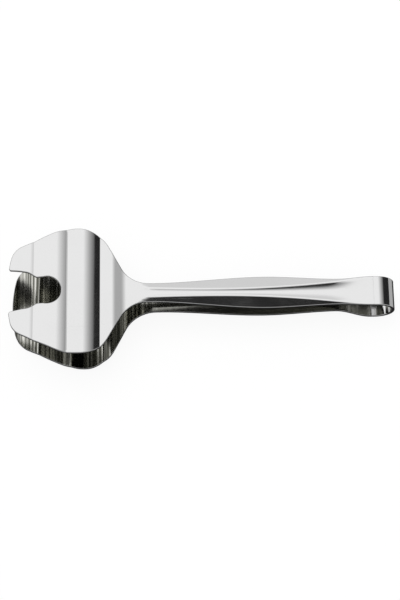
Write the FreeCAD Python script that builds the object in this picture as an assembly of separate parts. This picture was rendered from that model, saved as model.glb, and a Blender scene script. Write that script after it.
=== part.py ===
"""Spring tongs for ice, pressed and bent from one strip of stainless sheet.

The tongs lie on their lower arm: +X points to the bow, +Z up, and Z = 0 is the surface they lie on.
The shapes are drawn in a working frame first. There X is the distance from the tip of the upper jaw, and
Z = 0 passes through the centre of the bow. The lower arm is drawn as an upper one too, and is mirrored
down at the end. All sizes are in mm.
"""
import FreeCAD, Part

import math
import os
from dataclasses import dataclass

# Sheet and overall size
LENGTH = 180.0            # tip of the upper jaw to crown of the bow
SHEET = 1.5               # thickness of the strip

# Bow
BOW_RADIUS = 8.6          # outer radius of the bend
BOW_WIDTH = 14.1
BOW_LEG = 2.0             # straight run behind the bend; the lower one is the flat the tongs rest on
SEAM_GAP = 0.2            # running clearance between the bow's legs and the arms

# The two arms: the upper one leaves the bow straight, the lower one steps in towards it
UPPER_PINCH = 8.05        # centre of the bow to the upper arm's outer face, at the pinch
UPPER_FLARE = 1.5         # degrees by which the upper arm opens towards its jaw
LOWER_PINCH = 2.6
LOWER_FLARE = 2.05
LOWER_SETBACK = 0.6       # the lower jaw's tip lies this much nearer to the bow
LOWER_REACH = 1.5         # the lower jaw is this much longer

# Handles: stations are measured from the crown of the bow
PINCH_FROM_CROWN = 28.0   # where the arms come nearest to each other
WAIST_FROM_CROWN = 26.0
WAIST_WIDTH = 12.5
GRIP_FROM_CROWN = 60.0
GRIP_WIDTH = 15.3
NECK_WIDTH = 9.2

# Flute between the two ridges of each handle, and the flanks outside them
FLUTE_NECK = 4.4          # distance between the ridges at the neck
FLUTE_MIN = 3.2           # at the narrowest place
FLUTE_MIN_FROM_CROWN = 82.0
FLANK_ANGLE = 7.0         # degrees by which the flanks slope down from the ridges
FLANK_MIN = 0.3           # flank left beside the bow, where the ridges run out
FLANK_RUN = 12.0          # length over which the flanks flatten out into the neck
STATIONS = 30             # cross-sections along one handle

# Jaw, side view: heights of the tip and creases above the line of the handle
JAW_LENGTH = 66.0         # tip to neck
FIRST_LOBE = 12.6         # tip to first crease
LOBE_PITCH = 15.2         # crease to crease
LOBE_COUNT = 3
TIP_HEIGHT = 1.85
CREASE_HEIGHTS = (3.05, 2.9, 0.75)
LOBE_RISES = (1.1, 1.35, 1.75)
SHOULDER_CREST = 4.0      # crease to the crest of the last, half-sized lobe
SHOULDER_RISE = 1.3
SHOULDER_FOOT = 11.5      # crease to the foot of its slope
SHOULDER_RADIUS = 10.0
FOOT_RADIUS = 17.0

# Jaw, plan view
JAW_WIDTH = 61.0
TIP_RADIUS = 72.0         # slight curve in the middle of the front edge
TIP_LEAN = 11.0           # degrees by which the front edge falls back on each side of it
TIP_CORNER_HALF = 19.6    # half width where the front edge meets the side
LOWER_TIP_CORNER_HALF = 18.3
TIP_CORNER_RADIUS = 9.0
LOWER_TIP_CORNER_RADIUS = 12.5
SIDE_ANGLE = 24.6         # degrees between the side and the centre line
SIDE_RADIUS = 28.0
SHOULDER_FROM_TIP = 42.1  # where the side turns in to the neck
SHOULDER_ANGLE = 60.5
SHOULDER_CORNER_RADIUS = 15.5
NECK_CORNER_RADIUS = 14.0
LOWER_NECK_CORNER_RADIUS = 19.0

# Keyhole notch in the upper jaw
NOTCH_MOUTH = 20.4        # width at the front edge
NOTCH_THROAT = 17.4       # width where it starts to close in
NOTCH_THROAT_FROM_TIP = 10.0
NOTCH_WAIST = 12.8
NOTCH_WAIST_FROM_TIP = 13.8
NOTCH_BULB_RADIUS = 6.6
NOTCH_BULB_FROM_TIP = 18.5
THROAT_RADIUS = 5.0
WAIST_RADIUS = 2.0

OVERRUN = 5.0             # how far a cutting tool passes the sheet
FILLET_SHARE = 0.98       # of a side, the most that its rounded corners take


@dataclass(frozen=True)
class Arm:
    """What the two arms don't share, each seen as an upper arm."""

    pinch: float
    flare: float
    setback: float
    reach: float
    tip_corner_half: float
    tip_corner_radius: float
    neck_corner_radius: float

    @property
    def neck(self):
        """The place of the joint between jaw and handle."""
        return JAW_LENGTH + self.reach + self.setback


UPPER = Arm(UPPER_PINCH, UPPER_FLARE, 0.0, 0.0, TIP_CORNER_HALF, TIP_CORNER_RADIUS, NECK_CORNER_RADIUS)
LOWER = Arm(
    LOWER_PINCH, LOWER_FLARE, LOWER_SETBACK, LOWER_REACH, LOWER_TIP_CORNER_HALF, LOWER_TIP_CORNER_RADIUS,
    LOWER_NECK_CORNER_RADIUS)


def vec(x, y, z):
    """Return a FreeCAD vector."""
    return FreeCAD.Vector(x, y, z)


def ease(share):
    """Return the smooth step from 0 to 1 for a share of the way, level at both ends."""
    share = min(max(share, 0.0), 1.0)
    return share * share * (3.0 - 2.0 * share)


def corner_reach(before, corner, after, radius):
    """Return how far a rounded corner reaches back along its two sides."""
    half = (before - corner).getAngle(after - corner) / 2.0
    return radius / math.tan(half)


def fitting_radii(points, radii):
    """Return the radii, made smaller where two rounded corners would meet on the side between them."""
    corners = list(zip(points, points[1:], points[2:], radii))
    reaches = [0.0] + [corner_reach(*corner) for corner in corners] + [0.0]
    room = []
    for index, (start, end) in enumerate(zip(points, points[1:])):
        needed = reaches[index] + reaches[index + 1]
        room.append(min(1.0, FILLET_SHARE * start.distanceToPoint(end) / needed))
    return [radius * min(pair) for radius, pair in zip(radii, zip(room, room[1:]))]


def rounded_path(points, radii):
    """Return the edges of a path through points, with each inner corner rounded to its radius."""
    edges = []
    start = points[0]
    corners = zip(points, points[1:], points[2:], fitting_radii(points, radii))
    for before, corner, after, radius in corners:
        back = (before - corner).normalize()
        ahead = (after - corner).normalize()
        half = back.getAngle(ahead) / 2.0
        reach = radius / math.tan(half)
        entry = corner + back * reach
        leave = corner + ahead * reach
        to_centre = (back + ahead).normalize()
        middle = corner + to_centre * (radius / math.sin(half) - radius)
        edges.append(Part.LineSegment(start, entry).toShape())
        edges.append(Part.Arc(entry, middle, leave).toShape())
        start = leave
    edges.append(Part.LineSegment(start, points[-1]).toShape())
    return edges


# --- side view of an arm's outer face --------------------------------------------------------------

def flare_height(arm, x):
    """Return the height of the straight part of the handle at x."""
    pinch_x = LENGTH - PINCH_FROM_CROWN
    return arm.pinch + (pinch_x - x) * math.tan(math.radians(arm.flare))


def crease_points(arm):
    """Return the tip and the creases of the jaw, from the tip to the neck."""
    points = [vec(arm.setback, 0.0, flare_height(arm, arm.setback) + TIP_HEIGHT)]
    for index in range(LOBE_COUNT):
        x = arm.setback + FIRST_LOBE + index * LOBE_PITCH
        points.append(vec(x, 0.0, flare_height(arm, x) + CREASE_HEIGHTS[index]))
    return points


def lobe_arcs(arm):
    """Return the arcs of the whole lobes, each bulging outwards between two creases."""
    points = crease_points(arm)
    arcs = []
    for start, end, rise in zip(points, points[1:], LOBE_RISES):
        along = (end - start).normalize()
        outwards = vec(-along.z, 0.0, along.x)
        crest = (start + end) * 0.5 + outwards * rise
        arcs.append(Part.Arc(start, crest, end))
    return arcs


def rest_angle():
    """Return the angle between the working frame and the surface that bow and lower jaw rest on."""
    bow_x = LENGTH - BOW_RADIUS
    angles = []
    for arc in lobe_arcs(LOWER):
        circle = arc.toShape().Curve
        run = bow_x - circle.Center.x
        drop = -circle.Center.z
        reach = math.hypot(run, drop)
        angles.append(math.asin((circle.Radius - BOW_RADIUS) / reach) - math.atan2(drop, run))
    return max(angles)


def leg_frame(arm):
    """Return the bow's centre and the outward normal and direction of the arm's bow leg."""
    angle = math.radians(arm.flare) if arm is UPPER else rest_angle()
    centre = vec(LENGTH - BOW_RADIUS, 0.0, 0.0)
    normal = vec(math.sin(angle), 0.0, math.cos(angle))
    along = vec(-math.cos(angle), 0.0, math.sin(angle))
    return centre, normal, along


def leg_end(arm):
    """Return the end of the leg's outer face."""
    centre, normal, along = leg_frame(arm)
    return centre + normal * BOW_RADIUS + along * BOW_LEG


def handle_height(arm, x):
    """Return the height of the handle's ridges at x."""
    end = leg_end(arm)
    along = leg_frame(arm)[2]
    pinch_x = LENGTH - PINCH_FROM_CROWN
    leg_height = end.z + (x - end.x) * along.z / along.x
    share = ease((x - pinch_x) / (end.x - pinch_x))
    return flare_height(arm, x) * (1.0 - share) + leg_height * share


# --- widths of the handle --------------------------------------------------------------------------

def handle_width(arm, x):
    """Return the width of the handle at x."""
    grip = LENGTH - GRIP_FROM_CROWN
    waist = LENGTH - WAIST_FROM_CROWN
    if x < grip:
        share = ease((x - arm.neck) / (grip - arm.neck))
        return NECK_WIDTH + (GRIP_WIDTH - NECK_WIDTH) * share
    if x < waist:
        share = ease((x - grip) / (waist - grip))
        return GRIP_WIDTH + (WAIST_WIDTH - GRIP_WIDTH) * share
    share = ease((x - waist) / (leg_end(arm).x - waist))
    return WAIST_WIDTH + (BOW_WIDTH - WAIST_WIDTH) * share


def flute_width(arm, x):
    """Return the distance between the two ridges at x."""
    narrowest = LENGTH - FLUTE_MIN_FROM_CROWN
    if x < narrowest:
        share = (narrowest - x) / (narrowest - arm.neck)
        width = FLUTE_MIN + (FLUTE_NECK - FLUTE_MIN) * share * share
    else:
        share = (x - narrowest) / (leg_end(arm).x - narrowest)
        width = FLUTE_MIN + (BOW_WIDTH - FLUTE_MIN) * share * share
    return min(width, handle_width(arm, x) - 2.0 * FLANK_MIN)


def handle_section(arm, x):
    """Return the closed cross-section of the handle at x: a flat flute and two sloping flanks."""
    half = handle_width(arm, x) / 2.0
    ridge = flute_width(arm, x) / 2.0
    height = handle_height(arm, x)
    slope = math.tan(math.radians(FLANK_ANGLE)) * ease((x - arm.neck) / FLANK_RUN)
    edge = height - (half - ridge) * slope
    outer = [vec(x, -half, edge), vec(x, -ridge, height), vec(x, ridge, height), vec(x, half, edge)]
    inner = [point - vec(0.0, 0.0, SHEET) for point in reversed(outer)]
    return Part.makePolygon(outer + inner + outer[:1])


# --- solids in the working frame -------------------------------------------------------------------

def flip(point):
    """Return the point mirrored down through the centre of the bow."""
    return vec(point.x, point.y, -point.z)


def make_bow():
    """Return the spring bow: the bend and its two straight legs."""
    centre = leg_frame(UPPER)[0]
    edges = []
    ends = []
    for radius in (BOW_RADIUS, BOW_RADIUS - SHEET):
        crown = centre + vec(radius, 0.0, 0.0)
        tangents = []
        for arm in (UPPER, LOWER):
            _, normal, along = leg_frame(arm)
            tangent = centre + normal * radius
            end = tangent + along * BOW_LEG
            if arm is LOWER:
                tangent = flip(tangent)
                end = flip(end)
            edges.append(Part.LineSegment(tangent, end).toShape())
            tangents.append(tangent)
            ends.append(end)
        edges.append(Part.Arc(tangents[0], crown, tangents[1]).toShape())
    outer_ends = ends[:2]
    inner_ends = ends[2:]
    for outer, inner in zip(outer_ends, inner_ends):
        edges.append(Part.LineSegment(outer, inner).toShape())
    face = Part.Face(Part.Wire(Part.__sortEdges__(edges)))
    face.translate(vec(0.0, -BOW_WIDTH / 2.0, 0.0))
    return face.extrude(vec(0.0, BOW_WIDTH, 0.0))


def make_handle(arm):
    """Return a handle, lofted from the neck to the bow."""
    end = leg_end(arm).x - SEAM_GAP
    step = (end - arm.neck) / (STATIONS - 1)
    sections = [handle_section(arm, arm.neck + index * step) for index in range(STATIONS)]
    return Part.makeLoft(sections, True, True)


def jaw_side_edges(arm):
    """Return the edges of the jaw's outer face in side view, from the tip to the neck."""
    crease = crease_points(arm)[-1]
    foot_x = crease.x + SHOULDER_FOOT
    path = [
        crease,
        crease + vec(SHOULDER_CREST, 0.0, SHOULDER_RISE),
        vec(foot_x, 0.0, flare_height(arm, foot_x)),
        vec(arm.neck, 0.0, flare_height(arm, arm.neck)),
    ]
    edges = [arc.toShape() for arc in lobe_arcs(arm)]
    return edges + rounded_path(path, (SHOULDER_RADIUS, FOOT_RADIUS))


def corrugated_plate(arm):
    """Return the jaw's pressed sheet before it is cut to its outline."""
    outer = jaw_side_edges(arm)
    thickness = vec(0.0, 0.0, -SHEET)
    inner = [edge.translated(thickness) for edge in outer]
    closing = []
    for point in (crease_points(arm)[0], vec(arm.neck, 0.0, flare_height(arm, arm.neck))):
        closing.append(Part.LineSegment(point, point + thickness).toShape())
    face = Part.Face(Part.Wire(Part.__sortEdges__(outer + inner + closing)))
    face.translate(vec(0.0, -JAW_WIDTH, 0.0))
    return face.extrude(vec(0.0, 2.0 * JAW_WIDTH, 0.0))


def jaw_outline(arm):
    """Return the closed plan outline of a jaw as a face, with the jaw's tip at X = 0."""
    half = JAW_WIDTH / 2.0
    side_slope = math.tan(math.radians(SIDE_ANGLE))
    lean = math.radians(TIP_LEAN)
    front_x = TIP_RADIUS * (1.0 - 1.0 / math.cos(lean))
    tip_corner_x = front_x + arm.tip_corner_half * math.tan(lean)
    shoulder_x = SHOULDER_FROM_TIP + arm.reach
    neck_x = shoulder_x + (half - NECK_WIDTH / 2.0) / math.tan(math.radians(SHOULDER_ANGLE))
    side = [
        vec(JAW_LENGTH + arm.reach, NECK_WIDTH / 2.0, 0.0),
        vec(neck_x, NECK_WIDTH / 2.0, 0.0),
        vec(shoulder_x, half, 0.0),
        vec(tip_corner_x + (half - arm.tip_corner_half) / side_slope, half, 0.0),
        vec(tip_corner_x, arm.tip_corner_half, 0.0),
    ]
    radii = [arm.neck_corner_radius, SHOULDER_CORNER_RADIUS, SIDE_RADIUS, arm.tip_corner_radius]
    other_side = [vec(point.x, -point.y, 0.0) for point in reversed(side)]
    path = side + [vec(front_x, 0.0, 0.0)] + other_side
    edges = rounded_path(path, radii + [TIP_RADIUS] + radii[::-1])
    edges.append(Part.LineSegment(path[-1], path[0]).toShape())
    return Part.Face(Part.Wire(edges))


def notch_outline():
    """Return the plan outline of the keyhole notch as two faces, its funnel and its round end."""
    throat = NOTCH_THROAT / 2.0
    waist = NOTCH_WAIST / 2.0
    flare = (NOTCH_MOUTH / 2.0 - throat) / NOTCH_THROAT_FROM_TIP
    side = [
        vec(-OVERRUN, NOTCH_MOUTH / 2.0 + flare * OVERRUN, 0.0),
        vec(NOTCH_THROAT_FROM_TIP, throat, 0.0),
        vec(NOTCH_WAIST_FROM_TIP, waist, 0.0),
        vec(NOTCH_BULB_FROM_TIP, waist, 0.0),
    ]
    upper = rounded_path(side, (THROAT_RADIUS, WAIST_RADIUS))
    lower = rounded_path([vec(point.x, -point.y, 0.0) for point in side], (THROAT_RADIUS, WAIST_RADIUS))
    ends = []
    for point in (side[0], side[-1]):
        ends.append(Part.LineSegment(point, vec(point.x, -point.y, 0.0)).toShape())
    funnel = Part.Face(Part.Wire(Part.__sortEdges__(upper + lower + ends)))
    circle = Part.Circle(vec(NOTCH_BULB_FROM_TIP, 0.0, 0.0), vec(0.0, 0.0, 1.0), NOTCH_BULB_RADIUS)
    return funnel, Part.Face(Part.Wire(circle.toShape()))


def stand_up(face, arm):
    """Return a plan outline moved to the arm's jaw and extruded through its whole pressed sheet."""
    low = -OVERRUN
    high = flare_height(arm, arm.neck) + max(CREASE_HEIGHTS) + max(LOBE_RISES) + OVERRUN
    return face.translated(vec(arm.setback, 0.0, low)).extrude(vec(0.0, 0.0, high - low))


def make_jaw(arm, notched):
    """Return a jaw, with or without its notch."""
    jaw = corrugated_plate(arm).common(stand_up(jaw_outline(arm), arm))
    if notched:
        for face in notch_outline():
            jaw = jaw.cut(stand_up(face, arm))
    return jaw


# --- placing ---------------------------------------------------------------------------------------

def mirror_down(shape):
    """Return a shape drawn as an upper one, mirrored to the lower arm."""
    return shape.mirror(vec(0.0, 0.0, 0.0), vec(0.0, 0.0, 1.0))


def lay_down(notched_jaw):
    """Return the placement from the working frame to the resting tongs, centred on the origin."""
    turn = FreeCAD.Rotation(vec(0.0, 1.0, 0.0), math.degrees(rest_angle()))
    bow_centre = turn.multVec(leg_frame(UPPER)[0])
    front = [vertex.Point for vertex in notched_jaw.Vertexes]
    front.append(flip(crease_points(LOWER)[0]))
    front_x = min(turn.multVec(point).x for point in front)
    crown_x = bow_centre.x + BOW_RADIUS
    return FreeCAD.Placement(vec(-(crown_x + front_x) / 2.0, 0.0, BOW_RADIUS - bow_centre.z), turn)


def make_tongs():
    """Return every node's solid in its resting place, by name."""
    nodes = {
        "spring_bow": make_bow(),
        "upper_handle": make_handle(UPPER),
        "notched_jaw": make_jaw(UPPER, notched=True),
        "lower_handle": mirror_down(make_handle(LOWER)),
        "plain_jaw": mirror_down(make_jaw(LOWER, notched=False)),
    }
    placement = lay_down(nodes["notched_jaw"])
    return {name: shape.transformed(placement.toMatrix()) for name, shape in nodes.items()}


def main():
    """Write one STEP file per node."""
    os.makedirs("parts", exist_ok=True)
    for name, shape in make_tongs().items():
        shape.exportStep("parts/" + name + ".step")
        print(name, "solids", len(shape.Solids), "valid", shape.isValid(), "volume", round(shape.Volume, 1))


if __name__ == "__main__":
    main()
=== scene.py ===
"""Polished spring tongs for ice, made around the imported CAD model.

One strip of steel sheet is blanked, pressed and bent double. It is modelled as the maker sees it: each arm
starts as a flat blank with rounded edges, is formed into a fluted handle, and a press then rolls the lobes
into its jaw. The bow that joins the arms is the same strip swept round a bend.

The arms are formed in a working frame, in millimetres: X is the distance from the upper jaw's tip, and Z = 0
passes through the centre of the bow. The lower arm is formed as an upper one and is turned over at the end.
"""
import logging
import math
from dataclasses import dataclass, field
from enum import Enum

import bpy
import numpy as np
from mathutils import Matrix, Vector
from mathutils.geometry import delaunay_2d_cdt


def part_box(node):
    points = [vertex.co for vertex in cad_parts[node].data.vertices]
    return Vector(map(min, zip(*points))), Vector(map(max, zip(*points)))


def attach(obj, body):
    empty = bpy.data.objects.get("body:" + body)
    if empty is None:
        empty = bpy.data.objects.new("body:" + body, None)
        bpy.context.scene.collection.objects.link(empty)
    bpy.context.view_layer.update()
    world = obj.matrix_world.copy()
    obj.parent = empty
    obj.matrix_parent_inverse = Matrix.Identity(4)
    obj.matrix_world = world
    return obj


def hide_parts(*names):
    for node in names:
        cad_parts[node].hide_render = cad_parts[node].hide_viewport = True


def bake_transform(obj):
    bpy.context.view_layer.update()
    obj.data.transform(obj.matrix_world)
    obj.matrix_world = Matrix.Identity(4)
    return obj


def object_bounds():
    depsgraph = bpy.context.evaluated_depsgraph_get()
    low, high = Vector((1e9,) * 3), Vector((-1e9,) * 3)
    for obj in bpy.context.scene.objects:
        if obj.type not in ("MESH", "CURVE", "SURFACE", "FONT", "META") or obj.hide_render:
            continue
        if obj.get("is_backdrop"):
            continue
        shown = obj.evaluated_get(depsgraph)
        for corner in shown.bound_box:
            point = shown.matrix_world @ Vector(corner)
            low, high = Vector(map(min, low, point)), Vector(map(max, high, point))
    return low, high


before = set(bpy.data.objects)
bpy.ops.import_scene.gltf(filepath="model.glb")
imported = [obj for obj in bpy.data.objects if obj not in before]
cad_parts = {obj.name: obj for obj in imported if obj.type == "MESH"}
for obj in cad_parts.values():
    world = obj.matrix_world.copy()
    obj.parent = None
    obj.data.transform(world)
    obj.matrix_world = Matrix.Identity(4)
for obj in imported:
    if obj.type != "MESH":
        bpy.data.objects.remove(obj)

log = logging.getLogger("tongs")

MM = 0.001                # metres in a millimetre
CORNER_SHARE = 0.98       # most of a side that the roundings at its two ends may take up
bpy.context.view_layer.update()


class Side(Enum):
    """Which arm of the tongs; the value is the way that its outer face looks."""

    UPPER = 1
    LOWER = -1


class Ray(Enum):
    """The kinds of ray that the backdrop answers to, by the name of the Light Path output."""

    CAMERA = "Is Camera Ray"
    GLOSSY = "Is Glossy Ray"
    TRANSMISSION = "Is Transmission Ray"


def ease(share: np.ndarray | float) -> np.ndarray:
    """Return the smooth step from 0 to 1 for a share of the way, level at both ends."""
    share = np.clip(share, 0.0, 1.0)
    return share * share * (3.0 - 2.0 * share)


def soften(distance: np.ndarray, turn: np.ndarray | float, width: float) -> np.ndarray:
    """Return the height that rounds off a fold.

    Args:
        distance: distance from the fold line.
        turn: change of slope across the fold.
        width: width of the rounded strip.

    Returns:
        The height to add, zero outside the rounded strip.
    """
    reach = np.clip(width / 2.0 - np.abs(distance), 0.0, None)
    return turn * reach * reach / (2.0 * width)


# --- node trees ------------------------------------------------------------------------------------

class TreeMaker:
    """Adds nodes and links to a node tree."""

    def __init__(self, tree: bpy.types.NodeTree) -> None:
        """Start with a tree that is empty or not."""
        self.tree = tree

    def node(self, kind: str, inputs: dict | None = None, **settings: object) -> bpy.types.Node:
        """Add a node.

        Args:
            kind: the node's type name.
            inputs: values or output sockets by input name or number.
            settings: properties of the node.

        Returns:
            The new node.
        """
        made = self.tree.nodes.new(kind)
        for name, value in settings.items():
            setattr(made, name, value)
        for key, value in (inputs or {}).items():
            self.feed(made.inputs[key], value)
        return made

    def feed(self, socket: bpy.types.NodeSocket, value: object) -> None:
        """Link an output socket to the input, or set the input's own value."""
        if isinstance(value, bpy.types.NodeSocket):
            self.tree.links.new(value, socket)
        else:
            socket.default_value = value

    def math(self, operation: str, first: object, second: object = 0.0, third: object = 0.0,
             ) -> bpy.types.NodeSocket:
        """Return the output of a Math node."""
        return self.node("ShaderNodeMath", {0: first, 1: second, 2: third}, operation=operation).outputs[0]

    def mixed(self, share: bpy.types.NodeSocket, first: object, second: object) -> bpy.types.NodeSocket:
        """Return a mix of two colours, each a socket or a plain colour."""
        made = self.node("ShaderNodeMix", {0: share}, data_type="RGBA")
        for index, colour in ((6, first), (7, second)):
            self.feed(made.inputs[index], (*colour, 1.0) if isinstance(colour, tuple) else colour)
        return made.outputs[2]

    def ramp(self, value: object, start: float, end: float, low: float = 0.0, high: float = 1.0,
             kind: str = "SMOOTHSTEP") -> bpy.types.NodeSocket:
        """Return a change from low to high as the value goes from start to end, smooth or linear."""
        inputs = {"Value": value, "From Min": start, "From Max": end, "To Min": low, "To Max": high}
        made = self.node("ShaderNodeMapRange", inputs, interpolation_type=kind)
        return made.outputs[0]

    def socket(self, name: str, way: str, kind: str = "NodeSocketFloat", default: object = None) -> None:
        """Add a named socket to the tree's own interface."""
        made = self.tree.interface.new_socket(name=name, in_out=way, socket_type=kind)
        if default is not None:
            made.default_value = default


def geometry_tree(name: str, sizes: dict[str, float]) -> tuple[TreeMaker, bpy.types.Node]:
    """Return a new Geometry Nodes tree with one named input per size, and its input node.

    Args:
        name: the tree's name.
        sizes: default value of each size by its name.
    """
    maker = TreeMaker(bpy.data.node_groups.new(name, "GeometryNodeTree"))
    maker.socket("Geometry", "INPUT", "NodeSocketGeometry")
    maker.socket("Geometry", "OUTPUT", "NodeSocketGeometry")
    for size, value in sizes.items():
        kind = "NodeSocketInt" if isinstance(value, int) else "NodeSocketFloat"
        maker.socket(size, "INPUT", kind, value)
    maker.socket("Finish", "INPUT", "NodeSocketMaterial")
    return maker, maker.node("NodeGroupInput")


def finish_tree(maker: TreeMaker, entry: bpy.types.Node, shape: bpy.types.NodeSocket) -> None:
    """End a Geometry Nodes tree: realize, set the material, and put the result out."""
    real = maker.node("GeometryNodeRealizeInstances", {0: shape})
    dressed = maker.node(
        "GeometryNodeSetMaterial", {"Geometry": real.outputs[0], "Material": entry.outputs["Finish"]})
    maker.node("NodeGroupOutput", {0: dressed.outputs[0]})


def run_tree(
    mesh: bpy.types.Mesh, tree: bpy.types.NodeTree, sizes: dict[str, float], finish: bpy.types.Material
) -> bpy.types.Mesh:
    """Put a mesh through a Geometry Nodes tree.

    Args:
        mesh: the mesh that the tree starts from.
        tree: the tree.
        sizes: the values of its named inputs.
        finish: the material that the tree sets.

    Returns:
        The tree's result as a plain mesh.
    """
    holder = bpy.data.objects.new("holder", mesh)
    bpy.context.scene.collection.objects.link(holder)
    modifier = holder.modifiers.new("tree", "NODES")
    modifier.node_group = tree
    values = dict(sizes, Finish=finish)
    for item in tree.interface.items_tree:
        if item.item_type == "SOCKET" and item.in_out == "INPUT" and item.name in values:
            modifier[item.identifier] = values[item.name]
    graph = bpy.context.evaluated_depsgraph_get()
    made = bpy.data.meshes.new_from_object(holder.evaluated_get(graph), depsgraph=graph)
    bpy.data.objects.remove(holder)
    return made


# --- finishes --------------------------------------------------------------------------------------

@dataclass(frozen=True)
class PolishGroups:
    """The shared effects of the steel finishes: polishing grain, hairline scratches, worn edges with painted shade,
    and a painted reflection on the inner faces.
    """

    def grain(self) -> bpy.types.NodeTree:
        """Return the group of the fine lines that a polishing mop leaves along the strip."""
        maker = TreeMaker(bpy.data.node_groups.new("polishing_grain", "ShaderNodeTree"))
        maker.socket("Scale", "INPUT", default=1.0)
        maker.socket("Height", "OUTPUT")
        maker.socket("Haze", "OUTPUT")
        entry = maker.node("NodeGroupInput")
        place = maker.node("ShaderNodeTexCoord").outputs["Object"]
        sized = maker.node(
            "ShaderNodeVectorMath", {0: place, "Scale": entry.outputs["Scale"]}, operation="SCALE")
        lines = maker.node("ShaderNodeMapping", {"Vector": sized.outputs[0], "Scale": (60.0, 2600.0, 2600.0)})
        fine = maker.node("ShaderNodeTexNoise", {"Vector": lines.outputs[0], "Scale": 1.0, "Detail": 3.0})
        patches = maker.node("ShaderNodeTexNoise", {"Vector": sized.outputs[0], "Scale": 45.0, "Detail": 4.0})
        haze = maker.ramp(patches.outputs["Fac"], 0.38, 0.68)
        maker.node("NodeGroupOutput", {"Height": fine.outputs["Fac"], "Haze": haze})
        return maker.tree

    def scratches(self) -> bpy.types.NodeTree:
        """Return the group of the few hairline scratches from use."""
        maker = TreeMaker(bpy.data.node_groups.new("hairline_scratches", "ShaderNodeTree"))
        maker.socket("Amount", "INPUT", default=0.5)
        maker.socket("Mask", "OUTPUT")
        entry = maker.node("NodeGroupInput")
        place = maker.node("ShaderNodeTexCoord").outputs["Object"]
        total = None
        for turn, thin in ((0.35, 900.0), (-0.6, 1150.0), (1.3, 1000.0)):
            lines = maker.node(
                "ShaderNodeMapping", {"Vector": place, "Rotation": (0.0, 0.0, turn), "Scale": (40.0, thin, 40.0)})
            noise = maker.node(
                "ShaderNodeTexNoise", {"Vector": lines.outputs[0], "Scale": 1.0, "Detail": 1.0})
            line = maker.ramp(noise.outputs["Fac"], 0.72, 0.76)
            total = line if total is None else maker.math("MAXIMUM", total, line)
        maker.node("NodeGroupOutput", {"Mask": maker.math("MULTIPLY", total, entry.outputs["Amount"])})
        return maker.tree

    def drawn(self) -> bpy.types.NodeTree:
        """Return the group of the lines that rolling leaves across an arm's inner face, and of the painted reflection
        there.

        The lines are a bump. The colour is a painted reflection and shade: dark and light bands on the jaw, which fade
        to a plain painted shade over the fade's length behind it.
        """
        maker = TreeMaker(bpy.data.node_groups.new("drawn_lines", "ShaderNodeTree"))
        maker.socket("Scale", "INPUT", default=1.0)
        maker.socket("Jaw End", "INPUT", default=-0.03)
        maker.socket("Fade", "INPUT", default=0.012)
        maker.socket("Plain Painted Shade", "INPUT", default=0.3)
        maker.socket("Height", "OUTPUT")
        maker.socket("Painted Reflection Bands", "OUTPUT")
        maker.socket("Mask", "OUTPUT")
        entry = maker.node("NodeGroupInput")
        place = maker.node("ShaderNodeTexCoord").outputs["Object"]
        sized = maker.node(
            "ShaderNodeVectorMath", {0: place, "Scale": entry.outputs["Scale"]}, operation="SCALE")
        thin = maker.node("ShaderNodeMapping", {"Vector": sized.outputs[0], "Scale": (620.0, 7.0, 7.0)})
        stripes = maker.node("ShaderNodeTexNoise", {"Vector": thin.outputs[0], "Scale": 1.0, "Detail": 2.0})
        plain = entry.outputs["Plain Painted Shade"]
        # painted reflection and shade: dark and light bands in the colour of the jaw's inner face, fading to a plain
        # painted shade behind the jaw
        sharp = maker.math("SUBTRACT", maker.ramp(stripes.outputs["Fac"], 0.43, 0.61), plain)
        x = maker.node("ShaderNodeSeparateXYZ", {0: place}).outputs["X"]
        past = maker.math(
            "DIVIDE", maker.math("SUBTRACT", x, entry.outputs["Jaw End"]), entry.outputs["Fade"])
        painted_reflection_bands = maker.math("MULTIPLY_ADD", sharp, maker.ramp(past, 0.0, 1.0, 1.0, 0.0), plain)
        lines = maker.node("ShaderNodeMapping", {"Vector": sized.outputs[0], "Scale": (330.0, 5.0, 5.0)})
        noise = maker.node("ShaderNodeTexNoise", {"Vector": lines.outputs[0], "Scale": 1.0, "Detail": 0.6})
        inner = maker.node("ShaderNodeAttribute", attribute_name="inner").outputs["Fac"]
        height = maker.math("MULTIPLY", noise.outputs["Fac"], inner)
        maker.node("NodeGroupOutput", {"Height": height, "Painted Reflection Bands": painted_reflection_bands, "Mask": inner})
        return maker.tree

    def rim_wear_and_shade(self) -> bpy.types.NodeTree:
        """Return the group that tells the ground, handled edge of the sheet from its faces, for its real wear and for
        its painted shade.
        """
        maker = TreeMaker(bpy.data.node_groups.new("edge_wear_and_painted_shade", "ShaderNodeTree"))
        maker.socket("Spread", "INPUT", default=0.5)
        maker.socket("Mask", "OUTPUT")
        entry = maker.node("NodeGroupInput")
        rim = maker.node("ShaderNodeAttribute", attribute_name="rim").outputs["Fac"]
        place = maker.node("ShaderNodeTexCoord").outputs["Object"]
        noise = maker.node("ShaderNodeTexNoise", {"Vector": place, "Scale": 260.0, "Detail": 2.0})
        uneven = maker.math("MULTIPLY", noise.outputs["Fac"], entry.outputs["Spread"])
        # the rim mask serves both the real wear (rougher edge) and the painted shade (darker edge colour)
        maker.node("NodeGroupOutput", {"Mask": maker.math("MULTIPLY", rim, maker.math("ADD", uneven, 0.6))})
        return maker.tree


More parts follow.
